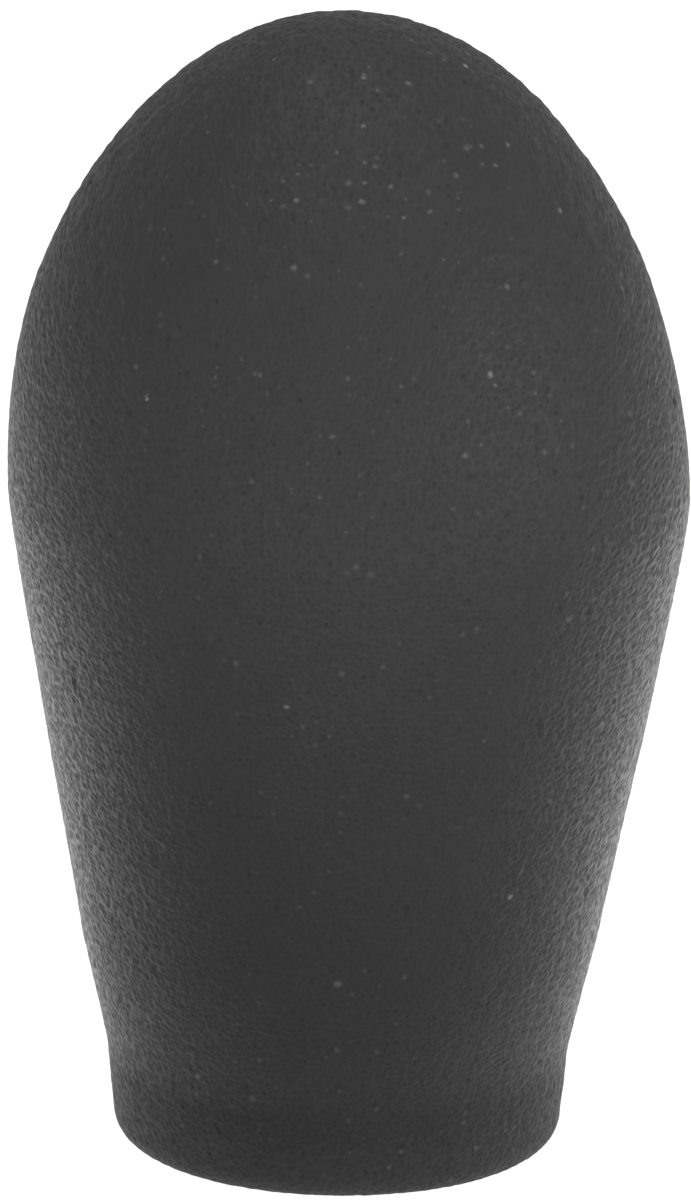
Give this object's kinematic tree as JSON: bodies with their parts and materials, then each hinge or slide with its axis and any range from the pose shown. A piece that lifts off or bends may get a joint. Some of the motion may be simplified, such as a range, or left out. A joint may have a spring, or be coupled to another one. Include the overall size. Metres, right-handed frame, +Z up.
{
  "type": "microphone windscreen",
  "caption": "Egg-shaped foam microphone windscreen with a blind bore and a snap-in collar of spring fingers inside its mouth.",
  "frame": {"origin": "centre of the mouth's rim, the annular face that the windscreen stands on", "axes": "+Z up the windscreen's axis, from the mouth to the rounded crown; +X through the first spring finger"},
  "size_m": [0.064, 0.064, 0.1085],
  "materials": {
    "foam": "matte",
    "adhesive": "satin",
    "collar_plastic": "satin"
  },
  "bodies": {
    "windscreen": {"foam_body": "foam", "adhesive_film": "adhesive", "collar": "collar_plastic"},
    "spring_finger_1": {"finger_1": "collar_plastic"},
    "spring_finger_2": {"finger_2": "collar_plastic"},
    "spring_finger_3": {"finger_3": "collar_plastic"},
    "spring_finger_4": {"finger_4": "collar_plastic"},
    "spring_finger_5": {"finger_5": "collar_plastic"},
    "spring_finger_6": {"finger_6": "collar_plastic"},
    "spring_finger_7": {"finger_7": "collar_plastic"},
    "spring_finger_8": {"finger_8": "collar_plastic"}
  },
  "joints": [
    {"name": "finger_1_flex", "type": "hinge", "parent": "windscreen", "child": "spring_finger_1", "pos_m": [0.01685, 0, 0.01015], "axis": [0, -1, 0], "range_deg": [0, 8], "stiffness_Nm_per_rad": 0.1},
    {"name": "finger_2_flex", "type": "hinge", "parent": "windscreen", "child": "spring_finger_2", "pos_m": [0.01191, 0.01191, 0.01015], "axis": [0.7071, -0.7071, 0], "range_deg": [0, 8], "stiffness_Nm_per_rad": 0.1},
    {"name": "finger_3_flex", "type": "hinge", "parent": "windscreen", "child": "spring_finger_3", "pos_m": [0, 0.01685, 0.01015], "axis": [1, 0, 0], "range_deg": [0, 8], "stiffness_Nm_per_rad": 0.1},
    {"name": "finger_4_flex", "type": "hinge", "parent": "windscreen", "child": "spring_finger_4", "pos_m": [-0.01191, 0.01191, 0.01015], "axis": [0.7071, 0.7071, 0], "range_deg": [0, 8], "stiffness_Nm_per_rad": 0.1},
    {"name": "finger_5_flex", "type": "hinge", "parent": "windscreen", "child": "spring_finger_5", "pos_m": [-0.01685, 0, 0.01015], "axis": [0, 1, 0], "range_deg": [0, 8], "stiffness_Nm_per_rad": 0.1},
    {"name": "finger_6_flex", "type": "hinge", "parent": "windscreen", "child": "spring_finger_6", "pos_m": [-0.01191, -0.01191, 0.01015], "axis": [-0.7071, 0.7071, 0], "range_deg": [0, 8], "stiffness_Nm_per_rad": 0.1},
    {"name": "finger_7_flex", "type": "hinge", "parent": "windscreen", "child": "spring_finger_7", "pos_m": [0, -0.01685, 0.01015], "axis": [-1, 0, 0], "range_deg": [0, 8], "stiffness_Nm_per_rad": 0.1},
    {"name": "finger_8_flex", "type": "hinge", "parent": "windscreen", "child": "spring_finger_8", "pos_m": [0.01191, -0.01191, 0.01015], "axis": [-0.7071, -0.7071, 0], "range_deg": [0, 8], "stiffness_Nm_per_rad": 0.1}
  ],
  "couplings": [
    {"joint": "finger_2_flex", "follows": "finger_1_flex", "ratio": 1},
    {"joint": "finger_3_flex", "follows": "finger_1_flex", "ratio": 1},
    {"joint": "finger_4_flex", "follows": "finger_1_flex", "ratio": 1},
    {"joint": "finger_5_flex", "follows": "finger_1_flex", "ratio": 1},
    {"joint": "finger_6_flex", "follows": "finger_1_flex", "ratio": 1},
    {"joint": "finger_7_flex", "follows": "finger_1_flex", "ratio": 1},
    {"joint": "finger_8_flex", "follows": "finger_1_flex", "ratio": 1}
  ]
}
